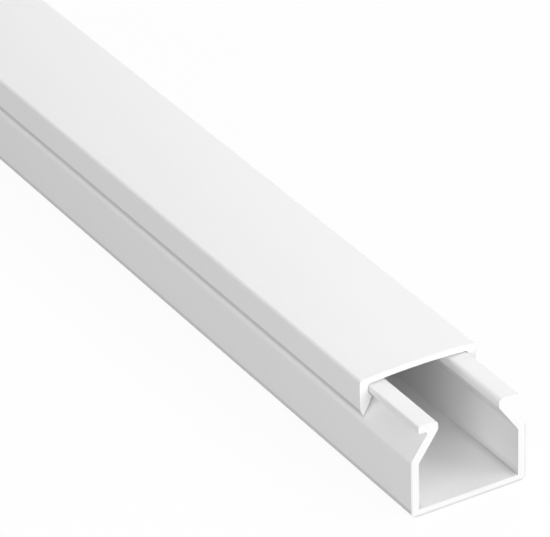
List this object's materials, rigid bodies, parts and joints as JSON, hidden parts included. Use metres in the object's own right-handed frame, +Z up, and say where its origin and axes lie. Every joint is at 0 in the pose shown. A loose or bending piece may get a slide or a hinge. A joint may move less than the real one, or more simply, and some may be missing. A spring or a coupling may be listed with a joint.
{
  "type": "cord cover raceway",
  "caption": "Straight cord cover raceway: a wall channel with in-leaning walls and outward lips, and a barbed cover that snaps over them and slides along.",
  "frame": {"origin": "centre of the base channel's flat back face, halfway along the channel", "axes": "+Y along the channel, from the open end that the cover leaves bare; +Z up from the back face to the cover; +X across"},
  "size_m": [0.0254, 0.4171, 0.0213],
  "materials": {
    "base_pvc": "white rigid PVC, as extruded, satin",
    "cover_pvc": "white rigid PVC, as extruded, satin"
  },
  "bodies": {
    "base": {"base_channel": "base_pvc"},
    "cover": {"snap_cover": "cover_pvc"}
  },
  "joints": [
    {"name": "cover_slide", "type": "slide", "parent": "base", "child": "cover", "axis": [0, 1, 0], "range_m": [-0.0171, 0.3629]}
  ]
}
